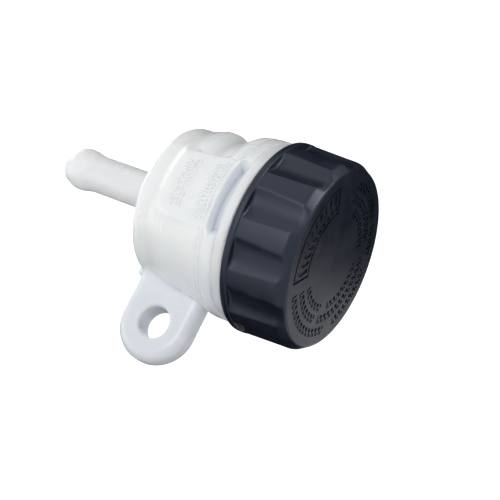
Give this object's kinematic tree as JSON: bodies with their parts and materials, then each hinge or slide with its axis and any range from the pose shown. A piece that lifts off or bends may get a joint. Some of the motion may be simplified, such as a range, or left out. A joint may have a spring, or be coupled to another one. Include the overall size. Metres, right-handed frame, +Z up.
{
  "type": "brake fluid reservoir",
  "caption": "Small round brake fluid reservoir with a fluted screw cap, a rubber diaphragm, a bolt ear on its side and a barbed hose nipple below.",
  "frame": {"origin": "centre of the cap's flat top, on the reservoir's axis", "axes": "+Z up the axis out of the cap, +X towards the bolt ear, -Y out of the level pad"},
  "size_m": [0.0522, 0.039, 0.0647],
  "materials": {
    "milky_plastic": "satin, milky and translucent",
    "black_plastic": "fine satin moulding",
    "natural_plastic": "plain moulding",
    "black_rubber": "moulded rubber"
  },
  "bodies": {
    "vessel": {"reservoir_body": "milky_plastic", "diaphragm": "black_rubber"},
    "plate": {"diaphragm_plate": "natural_plastic"},
    "cap": {"cap": "black_plastic"}
  },
  "joints": [
    {"name": "cap_rise", "type": "slide", "parent": "vessel", "child": "plate", "axis": [0, 0, 1], "range_m": [0, 0.00976]},
    {"name": "cap_turn", "type": "hinge", "parent": "plate", "child": "cap", "pos_m": [0, 0, -0.0025], "axis": [0, 0, 1], "range_deg": [0, 1170]}
  ],
  "couplings": [
    {"joint": "cap_rise", "follows": "cap_turn", "m_per_rad": 0.00047746}
  ]
}
